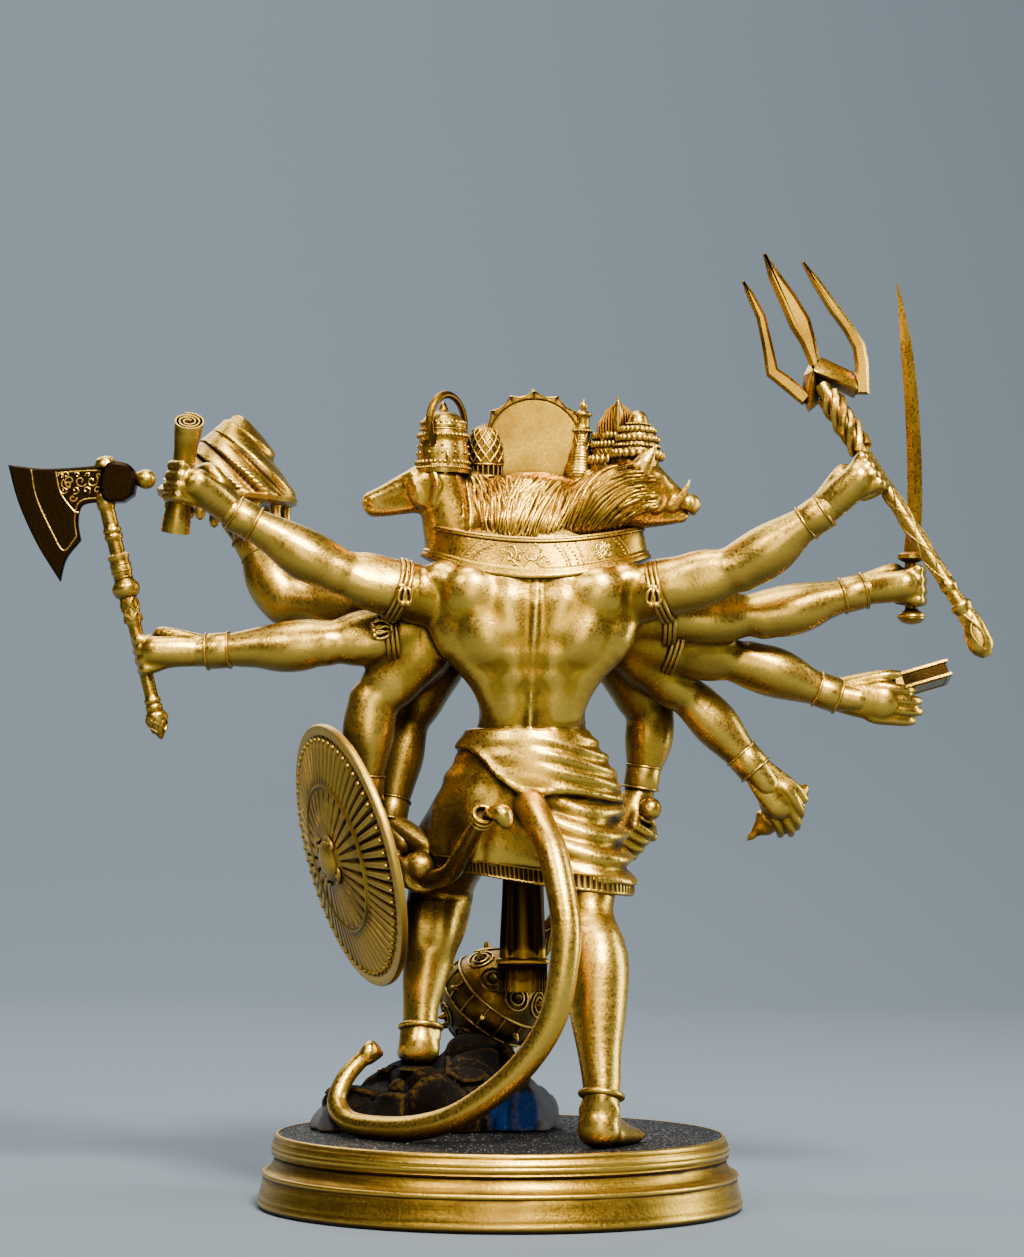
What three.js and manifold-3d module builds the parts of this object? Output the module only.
// A five-headed, ten-armed standing figure on a round plinth, cast and gilded, with its held things.
// Millimetres, +Z up. The origin is the middle of the plinth's underside. The figure faces -Y and its
// left hand side is +X.
import * as THREE from 'three';
import { LoftGeometry } from 'three/addons/geometries/LoftGeometry.js';
import { SimplifyModifier } from 'three/addons/modifiers/SimplifyModifier.js';
import { mergeVertices } from 'three/addons/utils/BufferGeometryUtils.js';
import Module from 'manifold-3d';

const wasm = await Module();
wasm.setup();

// Driving dimensions
const GAP = 0.3;
const PLINTH_TOP = 22;
const FLOOR = PLINTH_TOP + GAP;
const BODY_X = -9;
const FACES = {
  figure: 4600, gripped: 5300, rock: 300, axeHead: 160, fork: 170, maceHead: 320, mountain: 380, conch: 190,
  shield: 520, crookEnd: 130,
};
const ROD = { axe: 2.1, trident: 2.1, sword: 2.2, mace: 2.6, crook: 3, scroll: 3.8, strap: 1.6 };
const SOLE = 42.8;
const MACE = { pommel: [-45.9, -18.4, 121.2], ball: [2.6, -45.4, 59.9], radius: 16.6, spike: 3 };

// Finishes
const gold = { color: 0xb98a35, roughness: 0.38, metalness: 0.85 };
const darkStone = { color: 0x2a221d, roughness: 0.85, metalness: 0.1 };

// Points and directions
const at = (x, y, z) => new THREE.Vector3(x, y, z);
const UP = at(0, 0, 1);
const BACK = at(0, 1, 0);
const LEFT = at(1, 0, 0);
const between = (a, b, t) => a.clone().lerp(b, t);
const towards = (a, b) => b.clone().sub(a).normalize();
const bump = (x, middle, spread) => Math.exp(-(((x - middle) / spread) ** 2));

// A closed geometry as a solid: shared corners are merged and empty triangles left out.
function toSolid(geometry, weld = 1e-4) {
  geometry.deleteAttribute('normal');
  geometry.deleteAttribute('uv');
  const merged = mergeVertices(geometry, weld);
  const index = merged.index.array;
  const kept = [];
  for (let i = 0; i < index.length; i += 3) {
    const [a, b, c] = [index[i], index[i + 1], index[i + 2]];
    if (a !== b && b !== c && c !== a) kept.push(a, b, c);
  }
  return new wasm.Manifold(new wasm.Mesh({
    numProp: 3,
    vertProperties: new Float32Array(merged.attributes.position.array),
    triVerts: new Uint32Array(kept),
  }));
}

function toGeometry(solid) {
  const mesh = solid.getMesh();
  const geometry = new THREE.BufferGeometry();
  geometry.setAttribute('position', new THREE.BufferAttribute(new Float32Array(mesh.vertProperties), 3));
  geometry.setIndex(new THREE.BufferAttribute(new Uint32Array(mesh.triVerts), 1));
  return geometry;
}

// Corners of two sheets that only touch are drawn a little way into their own sheet.
function partTouching(geometry) {
  const { position } = geometry.attributes;
  const index = geometry.index.array;
  const point = (i) => at(position.getX(i), position.getY(i), position.getZ(i));
  const shared = new Map();
  for (let i = 0; i < position.count; i += 1) {
    const key = point(i).toArray().map((value) => value.toFixed(3)).join();
    shared.set(key, [...(shared.get(key) ?? []), i]);
  }
  for (const corner of [...shared.values()].filter((list) => list.length > 1).flat()) {
    const middle = at(0, 0, 0);
    let faces = 0;
    for (let i = 0; i < index.length; i += 3) {
      const face = [index[i], index[i + 1], index[i + 2]];
      if (!face.includes(corner)) continue;
      face.forEach((other) => middle.add(point(other)));
      faces += 3;
    }
    const moved = point(corner).lerp(middle.divideScalar(faces), 0.06);
    position.setXYZ(corner, moved.x, moved.y, moved.z);
  }
  return geometry;
}

// The same solid with about the given number of faces, the flattest of them merged first.
async function lighten(solid, faces) {
  const geometry = toGeometry(solid);
  const spare = 1 - faces / solid.numTri();
  if (spare <= 0) return solid;
  return toSolid(await new SimplifyModifier().modify(geometry, geometry.attributes.position.count * spare));
}

// The room that a compact thing needs: its own form, larger all round by the gap.
function roomFor(solid) {
  const geometry = toGeometry(solid);
  geometry.computeBoundingBox();
  const middle = geometry.boundingBox.getCenter(at(0, 0, 0));
  const size = geometry.boundingBox.getSize(at(0, 0, 0));
  const grow = size.clone().addScalar(4 * GAP).divide(size);
  geometry.translate(-middle.x, -middle.y, -middle.z);
  geometry.scale(grow.x, grow.y, grow.z);
  geometry.translate(middle.x, middle.y, middle.z);
  return toSolid(geometry);
}

// The largest body of a solid, without the slivers that a cut can leave.
const largest = (solid) => solid.decompose().sort((a, b) => b.volume() - a.volume())[0];
const join = (solids) => solids.reduce((whole, piece) => whole.add(piece));
const cut = (solid, tools) => tools.reduce((whole, tool) => whole.subtract(tool), solid);

// A ring of points round a centre, square to an axis, with its first point towards side.
function ring(centre, axis, side, wide, deep, count, ripple = () => 1) {
  const across = side.clone().addScaledVector(axis, -side.dot(axis)).normalize();
  const other = new THREE.Vector3().crossVectors(axis, across);
  return Array.from({ length: count }, (_, i) => {
    const angle = (2 * Math.PI * i) / count;
    const size = ripple(angle);
    return centre.clone()
      .addScaledVector(across, wide * size * Math.cos(angle))
      .addScaledVector(other, deep * size * Math.sin(angle));
  });
}

function loft(sections, capped = true) {
  const skin = new LoftGeometry(sections, { capStart: capped, capEnd: capped });
  return toSolid(new THREE.BufferGeometry().copy(skin));
}

// Reads a list of stations [place, value, ...] at any place between them.
function stationAt(stations, place) {
  const last = stations.length - 1;
  let i = 0;
  while (i < last - 1 && place > stations[i + 1][0]) i += 1;
  const [a, b] = [stations[i], stations[i + 1]];
  const t = THREE.MathUtils.clamp((place - a[0]) / (b[0] - a[0]), 0, 1);
  const ease = t * t * (3 - 2 * t);
  return a.slice(1).map((value, k) => value + (b[k + 1] - value) * ease);
}

// A tapered limb or tube along a smooth curve. Radii are spread along it; flat squeezes it across side.
function limb(points, radii,
    { sides = 10, steps = 9, side = BACK, flat = 1, round = [false, false] } = {}) {
  const curve = new THREE.CatmullRomCurve3(points, false, 'centripetal');
  const girth = radii.map((radius, i) => [i / (radii.length - 1), radius]);
  const sections = [];
  const place = (t, offset, scale) => {
    const axis = curve.getTangent(t).normalize();
    const centre = curve.getPoint(t).addScaledVector(axis, offset);
    const radius = stationAt(girth, t)[0] * scale;
    sections.push(ring(centre, axis, side, radius * flat, radius, sides));
  };
  if (round[0]) place(0, -0.62 * radii[0], 0.62);
  for (let i = 0; i <= steps; i += 1) place(i / steps, 0, 1);
  if (round[1]) place(1, 0.62 * radii.at(-1), 0.62);
  return loft(sections);
}

// A tube with one ring at each of its [point, radius] stations.
function sweep(stations, { sides = 10, side = BACK, flat = 1 } = {}) {
  return loft(stations.map(([centre, radius], i) => {
    const before = stations[Math.max(i - 1, 0)][0];
    const after = stations[Math.min(i + 1, stations.length - 1)][0];
    return ring(centre, towards(before, after), side, radius * flat, radius, sides);
  }));
}

// A ball or egg, turned so that its third radius points along an axis.
function egg(centre, radii, axis = UP, wide = 12, high = 8) {
  const geometry = new THREE.SphereGeometry(1, wide, high);
  geometry.rotateX(Math.PI / 2);
  geometry.scale(...radii);
  geometry.applyQuaternion(new THREE.Quaternion().setFromUnitVectors(UP, axis));
  geometry.translate(centre.x, centre.y, centre.z);
  return toSolid(geometry);
}

// A turned shape: a profile of [radius, height] pairs, with its height along the line from foot.
function turned(foot, axis, profile, sides = 9) {
  const geometry = new THREE.LatheGeometry(profile.map(([r, h]) => new THREE.Vector2(r, h)), sides);
  geometry.rotateX(Math.PI / 2);
  geometry.applyQuaternion(new THREE.Quaternion().setFromUnitVectors(UP, axis));
  geometry.translate(foot.x, foot.y, foot.z);
  return toSolid(geometry);
}

// A flat outline in x and z, given a thickness in y about its place.
function plate(outline, y, thickness, bevel = 0) {
  const shape = new THREE.Shape(outline);
  const geometry = new THREE.ExtrudeGeometry(shape, {
    depth: thickness - 2 * bevel, curveSegments: 6,
    bevelEnabled: bevel > 0, bevelThickness: bevel, bevelSize: bevel * 1.5, bevelOffset: -bevel * 1.5,
    bevelSegments: 1,
  });
  geometry.translate(0, 0, -(thickness - 2 * bevel) / 2);
  geometry.rotateX(Math.PI / 2);
  geometry.translate(0, y, 0);
  return toSolid(geometry);
}

// PLINTH_PROFILE holds the moulding of the plinth as radius and height.
const PLINTH_PROFILE = [
  [0, 0], [73.2, 0], [74, 1.4], [73.3, 6], [72.4, 9.4], [72.5, 10.8], [70.6, 11.6],
  [68.6, 15.4], [69.8, 16.4], [69.8, 18.4], [68.4, 22.3], [67.6, 22.3], [67.5, PLINTH_TOP],
  [0, PLINTH_TOP],
];

function makePlinth() {
  return turned(at(0, 0, 0), UP, PLINTH_PROFILE, 32);
}

// The rock is broken from rounded boulders, cut level on the plinth and under the raised foot, and hollowed
// below the mace's ball.
function boulder(centre, radii, seed) {
  const geometry = new THREE.IcosahedronGeometry(1, 1);
  geometry.deleteAttribute('normal');
  geometry.deleteAttribute('uv');
  const round = mergeVertices(geometry, 1e-4);
  const position = round.attributes.position;
  for (let i = 0; i < position.count; i += 1) {
    const p = at(position.getX(i), position.getY(i), position.getZ(i));
    const broad = 0.13 * Math.sin(5.1 * p.x + seed) * Math.cos(4.3 * p.y - 2 * seed);
    const small = 0.08 * Math.sin(7 * p.z + 3 * seed);
    p.multiplyScalar(1 + broad + small);
    position.setXYZ(i, centre.x + p.x * radii[0], centre.y + p.y * radii[1], centre.z + p.z * radii[2]);
  }
  return toSolid(round);
}

function makeRock() {
  const boulders = join([
    boulder(at(22, -22, 25), [28, 26, 20], 1),
    boulder(at(45, -9, 23), [16.4, 15, 13], 2),
    boulder(at(25.9, -2, 31), [12.6, 10.6, 12], 3),
    boulder(at(2, -33, 24), [17, 19, 17], 4),
    boulder(at(-7, -13, 23), [11, 15, 16], 5),
    boulder(at(9.5, -7, 28), [11, 10, 10], 6),
  ]);
  const wide = 200;
  const slab = (low, high) => toSolid(new THREE.BoxGeometry(wide, wide, high - low).translate(0, 0,
      (low + high) / 2));
  const reach = MACE.radius + MACE.spike + GAP;
  const hollow = egg(at(...MACE.ball), [reach, reach, reach]);
  const crest = boulder(at(6, -24, 38), [11, 9, 14], 2);
  return join([cut(boulders, [slab(-20, FLOOR), slab(SOLE - GAP, 90), hollow]), cut(crest, [hollow])]);
}

// Arms. Each runs from the shoulder to the elbow, the wrist and the middle of the hand.
const ARMS = [
  { name: 'left_1', path: [at(19, 14, 183), at(50.8, 22, 192.3), at(82.1, 26, 209.7),
      at(94.5, 28, 217.8)] },
  { name: 'left_2', path: [at(17, 2, 180), at(68.7, -14, 185), at(80, -20, 205), at(82.5, -22, 210)] },
  { name: 'left_3', path: [at(19, 4, 176), at(54.5, 8, 171), at(91.8, 4, 168.4), at(107.5, 2, 168.2)] },
  { name: 'left_4', path: [at(20, 4, 176), at(40.5, 4, 152.9), at(42, 3, 124), at(39, 0, 110)] },
  { name: 'left_5', path: [at(17, -3, 174), at(28.5, -12, 146.3), at(32.7, -4, 120.1), at(27, 4, 103.6)] },
  { name: 'right_1', path: [at(-37, 14, 184), at(-71.6, 22, 194.1), at(-96.3, 28, 211.4),
      at(-107.5, 28, 221)] },
  { name: 'right_2', path: [at(-36, 2, 180), at(-80.1, 0, 180.8), at(-111.3, -2, 189),
      at(-124.3, -3, 190.6)] },
  { name: 'right_3', path: [at(-36, -2, 176), at(-75.5, -8, 166.4), at(-104, -10, 156.5),
      at(-116, -12, 156)] },
  { name: 'right_4', path: [at(-35, -6, 175), at(-60.1, -16, 154.2), at(-78.5, -16, 133.8),
      at(-85.5, -17, 124.5)] },
  { name: 'right_5', path: [at(-34, -10, 174), at(-46.4, -24, 150.5), at(-43.3, -24, 128.5),
      at(-40.2, -22.4, 113.4)] },
];
const ARM_GIRTH = { shoulder: 8.6, deltoid: 9.4, biceps: 8.9, elbow: 6.9, forearm: 8.3, taper: 6.6,
    wrist: 5 };
const BRACELET = { waist: 5.7, rim: 6.6, half: 4 };
const ARMLET = { band: 9.3, rim: 10.1, half: 2.2 };
const ARMLET_ARMS = ['left_1', 'left_3', 'right_1', 'right_2'];

// An arm as one swept form: its muscles, an armlet on some, and a bracelet with two rims.
function makeArm({ name, path: [shoulder, elbow, wrist, hand] }) {
  const g = ARM_GIRTH;
  const upper = (t, rise = 0) => between(shoulder, elbow, t).addScaledVector(UP, rise);
  const fore = (t, rise = 0) => between(elbow, wrist, t).addScaledVector(UP, rise);
  const end = towards(elbow, hand);
  const cuffAt = (offset) => wrist.clone().addScaledVector(end, offset);
  const armlet = [[upper(0.4, 1), ARMLET.rim], [upper(0.47, 1), ARMLET.band], [upper(0.52, 1), ARMLET.rim]];
  return sweep([
    [shoulder, g.shoulder], [upper(0.36, 1), g.deltoid],
    ...(ARMLET_ARMS.includes(name) ? armlet : []),
    [upper(0.58, 1), g.biceps], [elbow, g.elbow], [fore(0.3, 1), g.forearm], [fore(0.62, 0.6), g.taper],
    [cuffAt(-BRACELET.half - 0.6), g.wrist], [cuffAt(-BRACELET.half), BRACELET.rim], [cuffAt(0),
        BRACELET.waist],
    [cuffAt(BRACELET.half), BRACELET.rim], [cuffAt(BRACELET.half + 0.6),
        g.wrist], [between(wrist, hand, 0.7), g.wrist],
  ]);
}

// A closed hand round a rod: finger ridges stand side by side along the rod.
function makeFist(wrist, centre, rodAxis, rodRadius, size = 1, thumbed = true) {
  const out = towards(wrist, centre);
  const fingers = 4;
  const width = 3.3 * size;
  const sections = [];
  for (let i = 0; i <= 2 * fingers; i += 1) {
    const along = (i / (2 * fingers) - 0.5) * fingers * width;
    const ridge = i % 2 === 1 ? 1 : 0.86;
    const end = i === 0 || i === 2 * fingers ? 0.8 : 1;
    const reach = (rodRadius + 4.2 * size) * ridge * end;
    sections.push(ring(centre.clone().addScaledVector(rodAxis, along), rodAxis, out, reach * 1.12, reach,
        9));
  }
  if (!thumbed) return [loft(sections)];
  const side = new THREE.Vector3().crossVectors(rodAxis, out).normalize();
  const thumbFoot = wrist.clone().addScaledVector(rodAxis, 2.5 * size);
  const thumbTip = centre.clone().addScaledVector(side, -rodRadius - 2.6 * size).addScaledVector(rodAxis,
      4 * size);
  const thumb = sweep([[thumbFoot, 2.6 * size],
      [between(thumbFoot, thumbTip, 0.6).addScaledVector(side, -2 * size), 2.4 * size],
    [thumbTip, 1.7 * size]], { sides: 7 });
  return [loft(sections), thumb];
}

// An open hand: a flat palm with four fingers side by side and a thumb.
function makeOpenHand(wrist, palm, spread, curl, size = 1) {
  const out = towards(wrist, palm);
  const pieces = [limb([wrist, palm], [4.6 * size, 5.4 * size],
      { sides: 9, steps: 2, side: curl, flat: 0.55 })];
  for (let i = 0; i < 4; i += 1) {
    const sideways = (i - 1.5) * 2.9 * size;
    const foot = palm.clone().addScaledVector(spread, sideways).addScaledVector(out, -1);
    const knuckle = foot.clone().addScaledVector(out, 7 * size).addScaledVector(curl, 1.2);
    const tip = knuckle.clone().addScaledVector(out, 4.5 * size).addScaledVector(curl, 4.2 * size);
    pieces.push(sweep([[foot, 1.9 * size], [knuckle, 1.8 * size], [tip, 1.2 * size]], { sides: 6 }));
  }
  const thumbFoot = wrist.clone().addScaledVector(spread, 3.6 * size);
  const thumbTip = palm.clone().addScaledVector(spread, 8 * size).addScaledVector(curl, 3);
  pieces.push(sweep([[thumbFoot, 2.3 * size], [thumbTip, 1.5 * size]], { sides: 6 }));
  return pieces;
}

// Torso stations: height, middle x, middle y, half width, half depth.
const TORSO = [
  [143, -8.2, 9, 17, 12.8], [149, -8.6, 10, 16.8, 12.2], [155, -8.8, 10.5, 17.4, 12.4],
  [162, -8.6, 11, 21.2, 14.6], [169, -8, 11, 27.6, 16.8], [176, -8.5, 11, 31.5, 18],
  [183, -9, 11, 33.5, 18.2], [190, -9.2, 10.5, 32.5, 16.6], [196, -9.4, 9, 29, 14.4],
  [202, -9.4, 7, 25, 13], [210, -9.4, 5, 23, 11.5],
];

function makeTorso() {
  const sections = TORSO.map(([z, x, y, wide, deep]) => {
    const spine = 0.1 * bump(z, 172, 22);
    const blades = 0.07 * bump(z, 184, 8);
    const chest = 0.1 * bump(z, 182, 7);
    const relief = (angle) => 1
      - spine * bump(angle, Math.PI / 2, 0.2)
      + blades * (bump(angle, 0.95, 0.28) + bump(angle, Math.PI - 0.95, 0.28))
      + chest * (bump(angle, 4.35, 0.3) + bump(angle, 5.07, 0.3));
    return ring(at(x, y, z), UP, LEFT, wide, deep, 36, relief);
  });
  return loft(sections);
}

// The wrapped cloth: the hips' form, the upper wrap over it, its folds and the ribbed hem.
const HIPS = [
  [90, -9, 2, 29, 21], [100, -8.6, 2, 29.8, 22], [112, -7.6, 3.5, 29.8, 21.5], [121, -7.4, 5, 29, 20],
  [130, -7.8, 7, 26, 17.8], [136, -7.9, 8.2, 22.8, 15.8], [141, -7.6, 9, 20, 14],
  [144.5, -7.4, 9.4, 17.8, 12.8],
  [147, -7.6, 9.6, 15.6, 12.2],
];
const ease = (value, low, high) => THREE.MathUtils.smoothstep(value, low, high);
// The lower edge of the skirt, and of the wrap over it, at an angle round the hips.
const hemEdge = (angle) => 98.7 + 4.9 * Math.cos(angle) + 0.8 * ease(-Math.cos(angle), 0.6, 1);
const wrapEdge = (angle) => 124.6 + 14.4 * ease(Math.cos(angle), -0.06, 0.9)
  + 0.9 * bump(Math.cos(angle), -0.38, 0.25) - 1.2 * ease(-Math.cos(angle), 0.5, 1);
// The skirt stands out behind where it covers the right thigh.
const thighSwell = (angle, z) => 10 * bump(angle, 2.2, 0.55) * ease(128 - z, 0, 31);
const CLOTH = { sides: 40, skirtTop: 136, wrapTop: 145.5, slope: 6.5, skirtFold: 7, wrapFold: 3.5,
    wrapProud: 1.5 };

function clothRing(heightAt, proud, foldAt) {
  return Array.from({ length: CLOTH.sides }, (_, i) => {
    const angle = (2 * Math.PI * i) / CLOTH.sides;
    const z = heightAt(angle);
    const [x, y, wide, deep] = stationAt(HIPS, z);
    const grow = proud + thighSwell(angle, z) + foldAt(angle, z);
    return at(x + (wide + grow) * Math.cos(angle), y + (deep + grow) * Math.sin(angle), z);
  });
}

// Folds run down towards the right side of the back and fade away from it.
function foldOf(depth, length) {
  const rightBack = (angle) => bump(angle, 2.65, 0.95);
  const turns = (angle, z) => (z - CLOTH.slope * Math.cos(angle)) / length;
  return (angle, z) => depth * rightBack(angle) * Math.sin(2 * Math.PI * turns(angle, z));
}

// A sheet of cloth from an edge up to a level, plain at both ends and folded between them.
function clothSheet(edge, top, rows, proud, topProud, foldAt) {
  const still = () => 0;
  return loft(Array.from({ length: rows + 1 }, (_, i) => {
    const height = (angle) => THREE.MathUtils.lerp(edge(angle), top, i / rows);
    const atEnd = i === 0 || i === rows;
    return clothRing(height, i === rows ? topProud : proud, atEnd ? still : foldAt);
  }));
}

function makeCloth() {
  const skirt = clothSheet(hemEdge, CLOTH.skirtTop, 18, 0, 0, foldOf(1, CLOTH.skirtFold));
  const wrap = clothSheet(wrapEdge, CLOTH.wrapTop, 14, CLOTH.wrapProud, 0.2, foldOf(0.75, CLOTH.wrapFold));
  const ribs = [[-0.2, 0.8], [0.4, 1.2], [5.6, 1.2]];
  const band = ribs.map(([lift, proud]) => clothRing((angle) => hemEdge(angle) + lift, proud, () => 0));
  return [skirt, loft(band), wrap];
}

// The long cloth that hangs in front, with its fringe, and the two ends of the stole on the chest.
function makeFrontCloths() {
  const panel = (z, y, wide, deep) => ring(at(-6.5, y, z), UP, LEFT, wide, deep, 8);
  const sash = loft([
    panel(64, -20.5, 7.6, 2.4), panel(73, -20.5, 7.6, 2.4), panel(73.6, -20.5, 6.8, 1.8), panel(98, -21,
        6.4, 2),
    panel(120, -19, 5.6, 3), panel(140, -10, 5, 4),
  ]);
  const stole = [1, -1].map((hand) => limb(
    [at(BODY_X + 17 * hand, 2, 203), at(BODY_X + 15 * hand, -6, 196), at(BODY_X + 12.5 * hand, -9.6, 182),
      at(BODY_X + 12.5 * hand, -5.6, 166), at(BODY_X + 13 * hand, -2.4, 150),
      at(BODY_X + 16 * hand, -10.5, 132)],
    [3.2, 3.4, 3.4, 3.3, 3.1, 2.6], { sides: 8, steps: 12 }));
  return [sash, ...stole];
}

// Legs: the right one stands on the plinth, the left one is raised on the rock.
function makeLegs() {
  const anklet = (x, y, z) => [[at(x, y, z + 1.6), 5.8], [at(x, y, z), 7.3], [at(x, y, z - 1.6), 5.8]];
  const right = sweep([[at(-22, 14, 116), 11], [at(-25.4, 20, 99), 9.4], [at(-25.8, 25, 88), 8],
    [at(-28.2, 31, 76), 9.9], [at(-28.8, 36, 62), 8.9], [at(-29.2, 41, 48), 6.5],
    ...anklet(-29.6, 43.6, 37.8), [at(-29, 45, 27), 5.9]]);
  const left = sweep([[at(4, 10, 122), 14.5], [at(14, -4, 111), 13.6], [at(18.6, -15.6, 101), 11.4],
    [at(19.6, -16, 92), 10], [at(21.8, -12.8, 80), 8.9], [at(24, -8.6, 67), 6.9],
    ...anklet(24.6, -5.4, 53.6), [at(24.8, -4, 47), 5.8]]);
  const rightFoot = makeFoot(at(-27.5, 49, FLOOR), at(-39, 20, FLOOR), 1);
  const leftFoot = makeFoot(at(25, 0.5, SOLE), at(26.5, -32, SOLE), -1);
  return [right, left, rightFoot, leftFoot];
}

// A bare foot from heel to toes, flat below. The toes are ridges at its front, the great toe on the inner
// side.
function makeFoot(heel, toe, inner) {
  const along = towards(heel, toe);
  const across = new THREE.Vector3().crossVectors(UP, along).multiplyScalar(inner);
  const count = 12;
  const stations = [
    [-0.07, 3.4, 5, 0], [0, 5, 8.2, 0], [0.24, 5.3, 10.4, 0],
    [0.52, 5.6, 7.2, 0], [0.76, 6.7, 4.6, 0.5], [1, 6, 3.2, 1],
  ];
  return loft(stations.map(([place, wide, high, toes]) => Array.from({ length: count }, (_, i) => {
    const angle = (2 * Math.PI * (i + 0.5)) / count;
    const rise = Math.max(0, 0.45 + 0.6 * Math.sin(angle));
    const ridge = 1 - 0.28 * toes * (i % 2);
    const reach = toes * (i % 2 === 0 ? 0.6 : -0.8) - 1.6 * toes * Math.max(0, -Math.cos(angle));
    return heel.clone().lerp(toe, place)
      .addScaledVector(across, wide * Math.cos(angle) * inner)
      .addScaledVector(UP, high * rise * ridge)
      .addScaledVector(along, reach);
  })));
}

// The tail leaves the back below the wrap, curves down to the plinth and up over the rock.
const TAIL = [
  [-7, 14, 120], [-8.6, 26, 119.8], [-11.4, 34, 115.2], [-15, 41, 107.6], [-18.7, 49, 88], [-18, 51, 74],
  [-15.3, 50, 61], [-9.4, 48, 50], [-0.6, 45, 40.2], [12, 40, 31], [24.5, 33, 26.6], [36.5, 24, 25.6],
  [45.5, 14, 26.6], [49.6, 8, 31.5], [47.5, 4.5, 38.5], [42.5, 2, 44.5],
];

function makeTail() {
  const path = TAIL.map(([x, y, z]) => at(x, y, z));
  const tube = limb(path, [5, 4.8, 4.5, 4.3, 4.1, 4, 3.9, 3.6, 3.3, 2.9, 2.5], { sides: 10, steps: 40 });
  const tuft = sweep([[path.at(-1), 2.6], [at(39.5, -0.5, 46.6), 3.7], [at(36.5, -2.5, 46.4), 1.4]]);
  return [tube, tuft];
}

// The broad collar dips in front and behind. Its edges are double raised rims.
function makeCollar() {
  const [x, y, wide, deep] = [BODY_X - 0.6, 6, 34.5, 19.5];
  const rows = [[0, 0.6], [0.1, 1.4], [0.2, 0.2], [0.82, -0.4], [0.9, 0.8], [1, 0.2]];
  const sections = rows.map(([height, proud]) => Array.from({ length: 40 }, (_, i) => {
    const angle = (2 * Math.PI * i) / 40;
    const dip = Math.sin(angle) ** 2;
    const low = 198 - 7.6 * dip;
    const high = 207.6 - 4.6 * dip;
    return at(x + (wide + proud - 2 * height) * Math.cos(angle),
        y + (deep + proud - 3 * height) * Math.sin(angle),
      THREE.MathUtils.lerp(low, high, height));
  }));
  return loft(sections);
}

// A crown of beaded tiers that ends in a small finial.
function makeCrown(foot, axis, radius, height, tiers, sides = 12) {
  const profile = [[0, -2], [radius, -2], [radius, 0]];
  for (let i = 0; i < tiers; i += 1) {
    const low = (i / tiers) * height;
    const r = radius * (1.06 - 0.55 * (i / tiers));
    profile.push([r + 0.6, low + height / tiers * 0.4], [r - 0.7, low + height / tiers * 0.95]);
  }
  profile.push([radius * 0.3, height * 1.06], [radius * 0.28, height * 1.2], [0, height * 1.32]);
  return turned(foot, axis, profile, sides);
}

// The five heads, from the figure's left to its right: horse, lion, monkey, man and boar.
function makeHorseHead() {
  const head = sweep([[at(13.6, 3, 200), 10], [at(17.6, 5.6, 210), 8.8], [at(19.4, 6.5, 219.4), 7],
      [at(24.6, 6.5, 222.4), 6.4],
    [at(31, 5.5, 219), 5], [at(38, 4.5, 215.8), 3.8], [at(40.6, 4.3, 214.8), 3.9], [at(42.6, 4, 214), 2]]);
  const cheek = egg(at(25.5, 6.5, 217.6), [3.4, 4.6, 5]);
  const crown = makeCrown(at(19.4, 6.5, 225), UP, 7.8, 13.4, 3);
  const hoop = new THREE.TorusGeometry(1, 0.17, 6, 18);
  hoop.scale(6.2, 10.2, 8);
  hoop.rotateX(Math.PI / 2);
  hoop.translate(19.7, 11.5, 238.2);
  return [head, cheek, crown, toSolid(hoop)];
}

function makeLionHead() {
  const facing = at(0.62, -0.78, 0).normalize();
  const centre = at(9.6, -2.5, 219);
  const skull = egg(centre, [8, 8, 9]);
  const muzzle = egg(centre.clone().addScaledVector(facing, 7.6).add(at(0, 0, -2.4)), [4.4, 4.4, 5.4],
      facing);
  const mane = egg(at(7.5, -1, 212.5), [10.5, 10, 10.5]);
  const crown = turned(at(8.7, -0.6, 224), UP,
    [[0, -1], [7.2, -1], [7.2, 3], [6.8, 7], [5.6, 12], [3.4, 15.6], [0, 18.2]], 14);
  return [skull, muzzle, mane, crown];
}

function makeMonkeyHead() {
  const centre = at(-8.4, -9.5, 221);
  const skull = egg(centre, [10.2, 10, 12], UP, 14, 10);
  const muzzle = egg(centre.clone().add(at(0, -8.6, -3.6)), [5.6, 4.6, 5]);
  const brow = egg(centre.clone().add(at(0, -8, 4)), [7, 3, 1.9]);
  const beard = sweep([[centre.clone().add(at(0, -5, -6)), 7],
      [centre.clone().add(at(0, -8.6, -15.5)), 2.4]]);
  const ears = [-1, 1].map((hand) => egg(centre.clone().add(at(10.6 * hand, 1, 1)), [1.8, 2.6, 4.4], UP, 8,
      6));
  const crown = turned(at(-8.4, -8.4, 227), UP,
    [[0, -2], [11, -2], [11.2, 1], [10, 5.4], [8.4, 10], [5.4, 14], [4.4, 14.8], [3, 19], [0, 23.4]], 14);
  return [skull, muzzle, brow, beard, ...ears, crown];
}

// The halo is a flat disc with a pointed, scalloped rim and a sunk middle behind.
function makeHalo() {
  const points = 14;
  const [inner, outer] = [15.4, 17.2];
  const middle = at(-8.8, 2.2, 232.6);
  const outline = Array.from({ length: 2 * points }, (_, i) => {
    const angle = (Math.PI * i) / points + Math.PI / 2;
    const reach = i % 2 === 0 ? outer : inner;
    return new THREE.Vector2(middle.x + Math.cos(angle) * reach, middle.z + Math.sin(angle) * reach);
  });
  const hollow = turned(middle, BACK, [[0, 0], [13.4, 0], [13.6, 2], [0, 2]], 20);
  return plate(outline, 1.4, 2.8).subtract(hollow);
}

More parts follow.
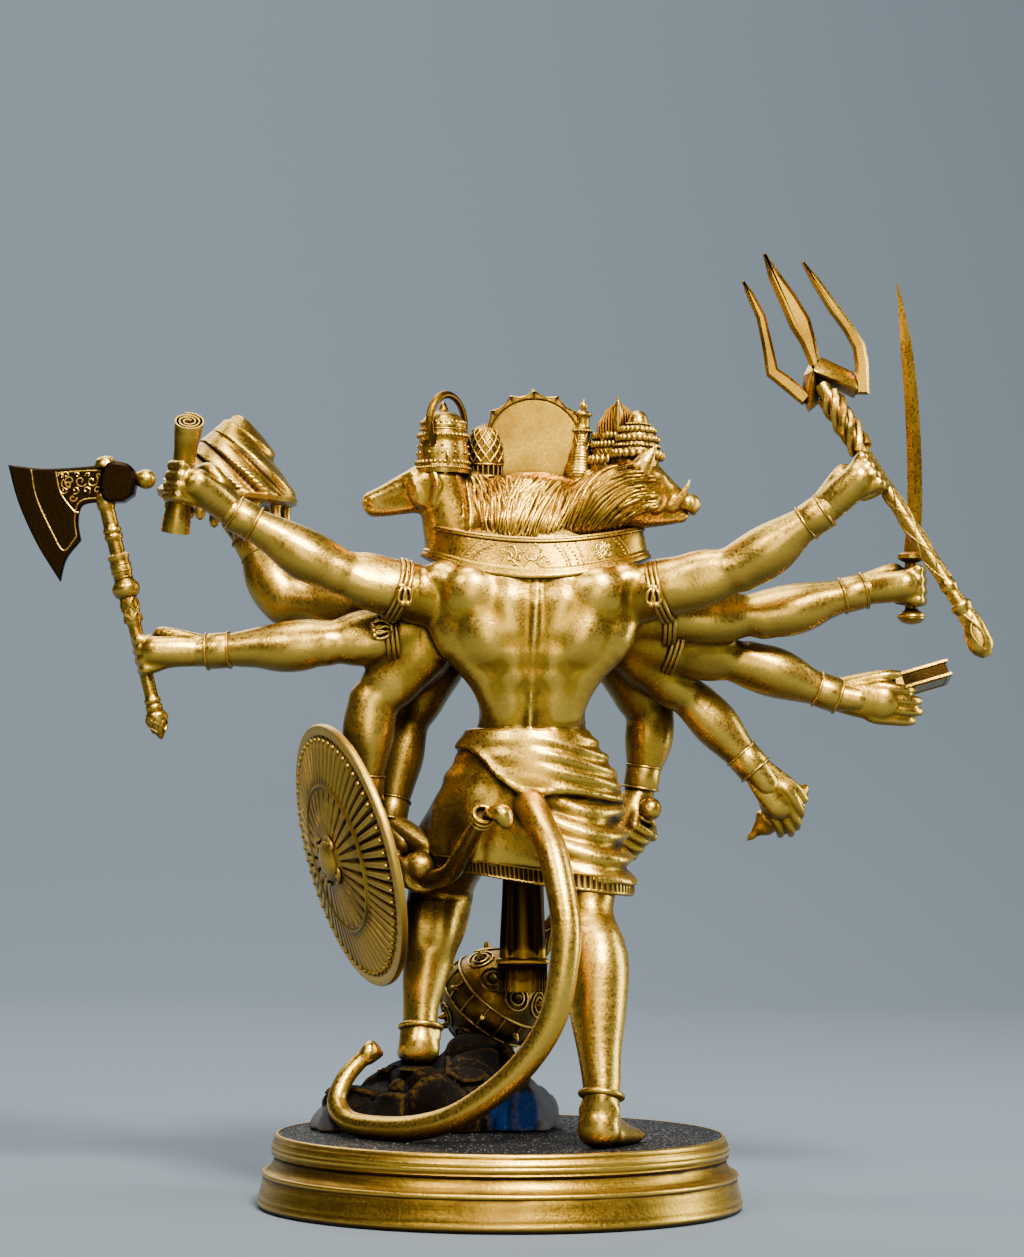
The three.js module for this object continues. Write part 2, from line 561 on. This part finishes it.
function makeManHead() {
  const facing = at(-0.62, -0.78, 0).normalize();
  const centre = at(-23.4, -4, 219.4);
  const skull = egg(centre, [7.2, 7.6, 9]);
  const jaw = egg(centre.clone().addScaledVector(facing, 2.2).add(at(0, 0, -5)), [4.8, 5, 4.6]);
  const nose = sweep([[centre.clone().addScaledVector(facing, 5.4).add(at(0, 0, 3)), 1.2],
    [centre.clone().addScaledVector(facing, 7.2).add(at(0, 0, -2.2)), 1.9]], { sides: 6 });
  const neck = sweep([[at(-22, -1, 200), 8.5], [at(-22.6, -2, 214), 6]]);
  const crown = makeCrown(centre.clone().add(at(0.4, 0.6, 6)), UP, 7.6, 11, 3);
  const hair = turned(at(-22.6, 1.6, 221), at(-0.04, 0, 1).normalize(),
    [[0, 0], [4.4, 0], [2.2, 16], [3.1, 17.2], [1.9, 18.4], [2.3, 21.6], [1.3, 22.8], [1.5, 24.2],
        [0, 25.4]], 9);
  return [skull, jaw, nose, neck, crown, hair];
}

// A fan-shaped crest with ribs and a pointed leaf in the middle.
function makeCrest() {
  const outline = [];
  const ribs = 9;
  for (let i = 0; i <= 2 * ribs; i += 1) {
    const angle = Math.PI * (0.02 + (0.96 * i) / (2 * ribs));
    const reach = (i % 2 === 1 ? 1 : 0.9);
    outline.push(new THREE.Vector2(-33 + 6.6 * reach * Math.cos(angle),
        232 + 12.4 * reach * Math.sin(angle)));
  }
  outline.push(new THREE.Vector2(-38, 226), new THREE.Vector2(-28, 226));
  const fan = plate(outline, 3, 9);
  const leaf = sweep([[at(-32.6, 7.6, 230), 1.6], [at(-32.6, 8, 242), 2.2], [at(-32.4, 6.6, 249), 0.5]],
      { sides: 6 });
  return [fan, leaf];
}

function makeBoarHead() {
  const head = sweep([[at(-14, 8, 203), 5.4], [at(-24, 10.5, 208), 7.8], [at(-33, 11, 214), 9],
      [at(-41, 10, 218.4), 8.6],
    [at(-47.6, 10.5, 216.6), 6], [at(-54, 11, 214.4), 3.7], [at(-57.6, 11.2, 213.8), 3.6]]);
  const jaw = sweep([[at(-42, 10, 211.6), 4.6], [at(-54, 10.8, 210.4), 1.8]], { sides: 8 });
  const tusks = [-1, 1].map((hand) => sweep([[at(-51.4, 11 + 3 * hand, 212.8), 1.6],
      [at(-54.4, 11 + 4.8 * hand, 216), 1.2],
    [at(-55.8, 11 + 5.2 * hand, 221), 0.3]], { sides: 6 }));
  const ears = [-1, 1].map((hand) => sweep([[at(-38.5, 9 + 5.4 * hand, 223), 3],
      [at(-44, 9 + 6.6 * hand, 232), 0.5]],
    { sides: 6 }));
  const crown = makeCrown(at(-38.5, 7, 226.4), at(-0.12, -0.05, 1).normalize(), 7, 13, 4);
  return [head, jaw, ...tusks, ...ears, crown];
}

// Hair between the heads, in locks that fall to the collar.
function makeHair() {
  const count = 30;
  const stations = [[201, 17, 10.4, 0.6], [207, 19, 11.4, 1.1], [214, 17.6, 10, 1.2],
      [221, 12.6, 7.4, 0.9], [224, 6, 4, 0]];
  return [loft(stations.map(([z, wide, deep, ripple], row) => Array.from({ length: count }, (_, i) => {
    const angle = (2 * Math.PI * (i + 0.35 * row)) / count;
    const proud = i % 2 === 0 ? ripple : -ripple;
    return at(-8 + (wide + proud) * Math.cos(angle), 5 + (deep + proud) * Math.sin(angle), z);
  })))];
}

// Held things

const AXE = { foot: at(104.6, 2, 141.5), head: at(123.4, 2, 217) };

async function makeAxe() {
  const axis = towards(AXE.foot, AXE.head);
  const length = AXE.foot.distanceTo(AXE.head);
  const r = ROD.axe;
  const handle = turned(AXE.foot, axis, [
    [0, 0], [3.4, 6], [3.4, 8.4], [r, 9.4], [r, 36], [3, 37], [3, 44.6], [4.4, 47.4], [2.7, 50.4],
    [2.6, 56], [3.6, 58.4], [2.3, 61], [2.3, length], [0, length + 1],
  ]);
  const block = turned(at(115.5, 2, 220.6), at(1, 0, 0.16).normalize(),
    [[0, 0], [4.2, 0], [5.2, 2.4], [3, 14], [0, 14]], 6);
  const knobs = [egg(at(124.6, 2, 224.6), [3.4, 3.4, 3.6]), egg(at(113.8, 2, 221.4), [3.2, 3.2, 3.2])];
  const outline = new THREE.Path();
  outline.moveTo(124, 214.5);
  outline.quadraticCurveTo(129, 214, 130.2, 212);
  outline.quadraticCurveTo(131, 204, 129.6, 202);
  outline.quadraticCurveTo(132.6, 194, 136.4, 189.4);
  outline.quadraticCurveTo(149, 204, 152.9, 225.6);
  outline.quadraticCurveTo(140, 222, 124, 225.4);
  outline.closePath();
  const blade = plate(outline.getPoints(8), 2, 2.6, 0.8);
  const grip = turned(at(104.6, 2, 141.5), axis, [[0, 20], [r + GAP, 20], [r + GAP, 36], [0, 36]]);
  const head = await lighten(join([block, ...knobs, blade]), FACES.axeHead);
  return { solid: handle.add(head), grip };
}

function makeScroll() {
  const foot = at(99.4, 28, 203.6);
  const head = at(94.9, 28, 236.8);
  const axis = towards(foot, head);
  const length = foot.distanceTo(head);
  const r = ROD.scroll;
  const roll = (grow) => [[0, 0], [4.9, 0], [5, 2], [r + grow, 8], [r + grow, length - 9], [5, length - 2],
    [4.9, length], [3.4, length - 0.2], [0, length - 1.4]];
  const grip = turned(foot, axis,
      [[0, -GAP], [5 + GAP, -GAP], [5 + GAP, 2.2], [r + GAP, 8.4], [r + GAP, length - 9.4],
    [5 + GAP, length - 2.2], [5 + GAP, length + GAP], [0, length + GAP]], 9);
  return { solid: turned(foot, axis, roll(0), 9), grip };
}

// The mountain is a spiral of layers that slope down to one side, with drops under its edge.
function makeMountain() {
  const centre = at(87, -22, 217.6);
  const layers = 5;
  const sides = 22;
  const sections = [];
  const tilt = (x) => -0.1 * (x - centre.x);
  const layerRing = (radius, height, lean) => Array.from({ length: sides }, (_, i) => {
    const angle = (2 * Math.PI * i) / sides;
    const swirl = 1 + 0.05 * Math.sin(3 * angle + height * 0.5);
    const x = centre.x + lean + radius * swirl * Math.cos(angle);
    return at(x, centre.y + radius * swirl * Math.sin(angle),
        centre.z + height - tilt(x) * 0.6 - 1.3 * Math.cos(angle + height));
  });
  sections.push(layerRing(15, -2.2, 0), layerRing(21.4, -1.2, 0), layerRing(22.2, 1.6, 0));
  for (let i = 0; i < layers; i += 1) {
    const radius = 21 * (1 - i / layers) ** 0.5;
    const height = 3 + i * 4.4;
    sections.push(layerRing(radius * 0.93, height + 1.4, -0.5 * i),
        layerRing(radius * 0.84, height + 4.6, -0.5 * i));
  }
  sections.push(layerRing(2, 26, -2.4));
  const body = loft(sections);
  const drops = Array.from({ length: 9 }, (_, i) => {
    const angle = (2 * Math.PI * (i + 0.4)) / 9;
    const spot = at(centre.x + 17.4 * Math.cos(angle), centre.y + 17.4 * Math.sin(angle), centre.z + 1.5);
    return limb([spot, spot.clone().add(at(0, 0, -7 - 1.2 * (i % 2)))], [2.6, 1.4],
        { sides: 7, steps: 1, round: [false, true] });
  });
  return join([body, ...drops]);
}

const SHIELD = { centre: at(46.7, 4, 106.5), axis: at(0.902, 0.35, -0.252).normalize(), radius: 41 };
const STRAP = { middle: at(39, 0, 110), along: at(0.27, -0.9, 0.1), straight: 7.5, foot: 14, back: -2.2,
    root: 2.6 };

// A round shield, fluted on its face, with a strap behind it that runs through the fist.
async function makeShield() {
  const { centre, axis, radius } = SHIELD;
  const along = STRAP.along.clone().addScaledVector(axis, -STRAP.along.dot(axis)).normalize();
  const depth = STRAP.middle.clone().sub(centre).dot(axis);
  const strapPoint = (offset, height) => STRAP.middle.clone()
    .addScaledVector(along, offset).addScaledVector(axis, height - depth);
  const strap = (grow) => sweep([
    strapPoint(-STRAP.foot, STRAP.root), strapPoint(-STRAP.foot, STRAP.back), strapPoint(-STRAP.straight,
        depth),
    strapPoint(STRAP.straight, depth), strapPoint(STRAP.foot, STRAP.back), strapPoint(STRAP.foot,
        STRAP.root),
  ].map((point) => [point, ROD.strap + grow]), { sides: 6, side: axis });
  const sides = 56;
  const fluted = (r, height, depth) => ({ r, height, depth });
  const front = [
    fluted(radius, 0.6, 0), fluted(radius - 4, 1.6, 0.9), fluted(24, 3.6, 0.9), fluted(22.4, 4.6, 0),
    fluted(21, 3.9, 0.8), fluted(10, 5.8, 0.8), fluted(0, 8.2, 0),
  ];
  const back = [[0, 1.6], [radius, -1.4]];
  const up = at(0.268, 0, 0.963);
  const discRing = (r, height, depth) => {
    const points = ring(centre.clone().addScaledVector(axis, height), axis, up, r, r, sides);
    return points.map((p, i) => p.addScaledVector(axis, i % 2 === 0 ? 0 : -depth));
  };
  const sections = [...back.map(([r, height]) => discRing(r, height, 0)),
    ...front.map(({ r, height, depth }) => discRing(r, height, depth))];
  const disc = await lighten(loft(sections, false), FACES.shield);
  return { solid: disc.add(strap(0)), grip: strap(1.5 * GAP) };
}

// A curled rod: it runs from a curl in front, through the hand, down and up behind to a ringed collar and
// ball.
async function makeCrook() {
  const path = [at(50, -44, 120), at(51, -45, 112), at(46, -41, 105.5), at(39, -32, 103.5),
      at(32, -16, 103.4),
    at(26.5, 2, 100.8), at(21.5, 9, 99.6), at(15.4, 17, 102.2), at(10.8, 28, 110.1), at(6.5, 37, 117.4)];
  const girth = [2.6, 2.8, ROD.crook, ROD.crook, ROD.crook, ROD.crook, ROD.crook, ROD.crook, 2.4];
  const tube = (grow) => limb(path, girth.map((radius) => radius + grow),
      { sides: 7, steps: 16, side: UP });
  const collar = turned(at(6.9, 36.6, 117), towards(path.at(-2), path.at(-1)),
    [[0, 0], [3.4, 0.4], [3, 1.8], [3.7, 3], [3.4, 4.4], [2, 4.6], [0, 3.6]]);
  const ball = egg(at(0, 42.4, 119.6), [3, 3, 3.4], UP, 8, 6);
  const link = limb([at(4.6, 39.4, 119.4), at(1.6, 41.4, 119.6)], [2, 2], { sides: 5, steps: 1 });
  const curl = egg(at(50, -44, 121), [3.4, 3.4, 3.4], UP, 8, 6);
  const tail = await lighten(join([collar, ball, link]), FACES.crookEnd);
  return { solid: join([tube(0), tail, curl]), grip: tube(1.5 * GAP) };
}

const TRIDENT = { hub: at(-97.2, 19, 247.6), foot: at(-138.5, 31, 179.6) };

async function makeTrident() {
  const { hub, foot } = TRIDENT;
  const axis = towards(hub, foot);
  const length = hub.distanceTo(foot);
  const r = ROD.trident;
  const shaft = turned(hub, axis, [
    [0, -3], [2.6, -3], [2.6, 3], [3.5, 6], [2.6, 9], [3.4, 12.6], [2.5, 16], [3.2, 18.6], [r, 21.5], [r,
        length - 4],
    [3.4, length - 2.4], [2.7, length - 1], [0, length],
  ]);
  const butt = limb([between(hub, foot, 0.99), at(-141, 31.6, 174.6), at(-143.4, 32, 169.6)], [2.9, 4, 3.2],
    { sides: 6, steps: 3, round: [false, true] });
  const cross = plate([[-88, 246], [-91.6, 242.6], [-104.2, 243.6], [-107.6, 249.6], [-104, 259.8],
      [-93, 261], [-89.6, 255]]
    .map(([x, z]) => new THREE.Vector2(x, z)), 18.2, 7, 1.6);
  const tines = [
    limb([at(-90, 18, 246.4), at(-79.2, 17, 253.4), at(-77.2, 16.6, 264.6), at(-69.8, 16, 282.8)],
        [2.6, 2.1, 1.9, 0.4],
      { sides: 4, steps: 7 }),
    limb([at(-94, 18, 256), at(-86.6, 16.6, 272.4), at(-76, 16, 291.6)], [3.2, 3, 0.4],
        { sides: 4, steps: 4 }),
    limb([at(-101, 18, 246.4), at(-106.4, 17, 251), at(-106.6, 16.6, 263.4), at(-99.5, 16, 276),
        at(-87.6, 16, 289)],
      [2.6, 2.1, 2, 1.7, 0.4], { sides: 4, steps: 7 }),
  ];
  const grip = turned(hub, axis, [[0, 21.5], [r + GAP, 22.5], [r + GAP, 46], [0, 46]]);
  const fork = await lighten(join([cross, ...tines]), FACES.fork);
  return { solid: join([shaft, butt, fork]), grip };
}

function makeSword() {
  const blade = limb([at(-125.4, -3, 199), at(-126.6, -3, 216), at(-125.9, -3, 242), at(-123.9, -3, 264.5),
      at(-121.2, -3, 284.2)],
    [2.3, 2.3, 2.2, 1.8, 0.3], { sides: 4, steps: 6, flat: 0.36 });
  const r = ROD.sword;
  const hilt = turned(at(-125.6, -3, 178.6), UP, [
    [0, 0], [3, 0.6], [4.2, 2.2], [4.2, 3.6], [r, 5], [r, 19], [4.4, 20], [4.4, 21.6], [0, 22.6],
  ]);
  const grip = turned(at(-125.6, -3, 178.6), UP, [[0, 4.4], [r + GAP, 4.4], [r + GAP, 19.8], [0, 19.8]]);
  return { solid: join([blade, hilt]), grip };
}

function makeBook() {
  const place = new THREE.Matrix4().makeTranslation(-130, -13, 163.6)
    .multiply(new THREE.Matrix4().makeRotationFromEuler(new THREE.Euler(0.24, 0.3, 0)));
  const board = (size, x, y,
      z) => toSolid(new THREE.BoxGeometry(...size).translate(x, y, z).applyMatrix4(place));
  const solid = join([board([17, 12, 1.1], 0, 0, 2.2), board([17, 12, 1.1], 0, 0, -2.2),
    board([1.2, 11.96, 4], 7.86, 0, 0), board([16, 11, 4], 0.4, 0, 0)]);
  return { solid, grip: board([17, 12, 5.5].map((length) => length + 2 * GAP), 0, 0, 0) };
}

// A conch: a whorled shell with a knobbed spire at one end and a drawn-out tip at the other.
async function makeConch() {
  const tip = at(-76.3, -23.5, 111.4);
  const spire = at(-95.6, -23.5, 129);
  const axis = towards(tip, spire);
  const side = new THREE.Vector3().crossVectors(axis, BACK).normalize();
  const other = new THREE.Vector3().crossVectors(axis, side);
  const profile = [[0, 0], [2.4, 6], [4.8, 10], [6.4, 16.6], [4.3, 19.8], [4.6, 21.6], [2.9, 22.4],
      [3, 23.8], [0, 26.4]];
  const count = 6;
  const shell = (grow) => join([
    turned(tip, axis, profile.map(([r, h]) => [r > 0 ? r + grow : 0, h]), 10),
    ...Array.from({ length: count }, (_, i) => {
      const angle = (2 * Math.PI * i) / count;
      const spot = tip.clone().addScaledVector(axis, 18)
        .addScaledVector(side, 5.4 * Math.cos(angle)).addScaledVector(other, 5.4 * Math.sin(angle));
      return egg(spot, [1.5 + grow, 1.5 + grow, 1.5 + grow], UP, 6, 4);
    }),
  ]);
  return { solid: await lighten(shell(0), FACES.conch), grip: shell(1.5 * GAP) };
}

async function makeMace() {
  const { radius, spike } = MACE;
  const [pommel, ball] = [at(...MACE.pommel), at(...MACE.ball)];
  const axis = towards(pommel, ball);
  const length = pommel.distanceTo(ball);
  const r = ROD.mace;
  const neck = length - radius;
  const shaft = turned(pommel, axis, [
    [0, -3.7], [2.6, -2.6], [3.7, 0], [2.6, 2.6], [r, 3.6], [r, 19], [3.6, 20.6], [2.8, 23],
    [4.6, neck - 5], [6, neck - 2], [5, neck + 2], [0, neck + 4],
  ]);
  const head = egg(ball, [radius, radius, radius], axis, 20, 12);
  const rows = [[0.7, 6], [1.25, 9], [1.85, 9], [2.45, 6]];
  const side = new THREE.Vector3().crossVectors(axis, UP).normalize();
  const other = new THREE.Vector3().crossVectors(axis, side);
  const spikes = rows.flatMap(([polar, count], row) => Array.from({ length: count }, (_, i) => {
    const around = (2 * Math.PI * (i + 0.5 * (row % 2))) / count;
    const out = axis.clone().multiplyScalar(-Math.cos(polar))
      .addScaledVector(side, Math.sin(polar) * Math.cos(around)).addScaledVector(other,
          Math.sin(polar) * Math.sin(around));
    const geometry = new THREE.ConeGeometry(1.3, 1.4 * spike, 3);
    geometry.rotateX(Math.PI / 2);
    geometry.applyQuaternion(new THREE.Quaternion().setFromUnitVectors(UP, out));
    geometry.translate(...ball.clone().addScaledVector(out, radius + 0.3 * spike).toArray());
    return toSolid(geometry);
  }));
  const grip = turned(pommel, axis, [[0, 0], [r + GAP, 0], [r + GAP, 20], [0, 20]]);
  const rest = turned(pommel, axis,
      [[0, -3.7 - GAP], [3 + GAP, -2.8], [4.1 + GAP, 0], [3 + GAP, 2.8], [0, 4.4]]);
  const spiked = await lighten(join([head, ...spikes]), FACES.maceHead);
  return { solid: shaft.add(spiked), grip: grip.add(rest) };
}

// Hands, each with what it holds
function makeHands() {
  const path = (name) => ARMS.find((arm) => arm.name === name).path;
  const fist = (name, rodAxis, rodRadius, size, thumbed) => {
    const [, , wrist, hand] = path(name);
    return makeFist(wrist, hand, rodAxis.normalize(), rodRadius, size, thumbed);
  };
  const open = (name, spread, curl, size) => {
    const [, , wrist, hand] = path(name);
    return makeOpenHand(wrist, hand, spread.normalize(), curl.normalize(), size);
  };
  const closed = join([
    ...fist('left_1', at(-4.5, 0, 33), ROD.scroll, 1),
    ...fist('left_3', at(18.8, 0, 75.5), ROD.axe, 1),
    ...fist('left_4', STRAP.along, ROD.strap, 0.95, false),
    ...fist('left_5', at(-10, 32, -6), ROD.crook, 1.05, false),
    ...fist('right_1', at(41.3, -12, 68), ROD.trident, 1.05),
    ...fist('right_2', at(0, 0, 1), ROD.sword, 1),
    ...fist('right_5', at(-48.5, 27, 61.3), ROD.mace, 1),
  ]);
  const opened = join([
    ...open('left_2', at(0.2, -1, 0), at(0.97, 0.2, 0.1), 1.1),
    ...open('right_3', at(0, -0.8, 0.6), at(-0.2, -0.7, 0.5), 1),
    ...open('right_4', at(-0.6, 0.3, 0.7), at(0.3, -1, 0), 1),
  ]);
  return closed.add(opened);
}

// The whole figure, with room left in its hands for what they hold.
async function makeFigure(held) {
  const limbs = ARMS.map(makeArm);
  const body = join([makeTorso(), ...makeCloth(), ...makeFrontCloths(), ...makeLegs(), ...makeTail(),
      makeCollar()]);
  const heads = join([...makeHair(), ...makeHorseHead(), ...makeLionHead(), ...makeMonkeyHead(),
      ...makeManHead(),
    ...makeCrest(), ...makeBoarHead(), makeHalo()]);
  const whole = join([body, heads, ...limbs, makeHands()]);
  return lighten(largest(cut(await lighten(whole, FACES.figure), held)), FACES.gripped);
}

const statue = new THREE.Group();

function addNode(name, solid, finish) {
  const node = new THREE.Mesh(partTouching(toGeometry(solid)), new THREE.MeshStandardMaterial(finish));
  node.name = name;
  statue.add(node);
}

const axe = await makeAxe();
const scroll = makeScroll();
const crook = await makeCrook();
const trident = await makeTrident();
const sword = makeSword();
const mace = await makeMace();
const mountain = await lighten(makeMountain(), FACES.mountain);
const conch = await makeConch();
const book = makeBook();
const shield = await makeShield();
const grips = [axe, scroll, crook, trident, sword, mace, shield, conch, book].map((thing) => thing.grip);

addNode('plinth', makePlinth(), gold);
addNode('rock', await lighten(makeRock(), FACES.rock), darkStone);
addNode('figure', await makeFigure([...grips, roomFor(mountain)]), gold);
addNode('axe', axe.solid, gold);
addNode('scroll', scroll.solid, gold);
addNode('crook', crook.solid, gold);
addNode('trident', trident.solid, gold);
addNode('sword', sword.solid, gold);
addNode('mace', mace.solid, gold);
addNode('mountain', mountain, gold);
addNode('shield', shield.solid, gold);
addNode('book', book.solid, gold);
addNode('conch', conch.solid, gold);

export default statue;
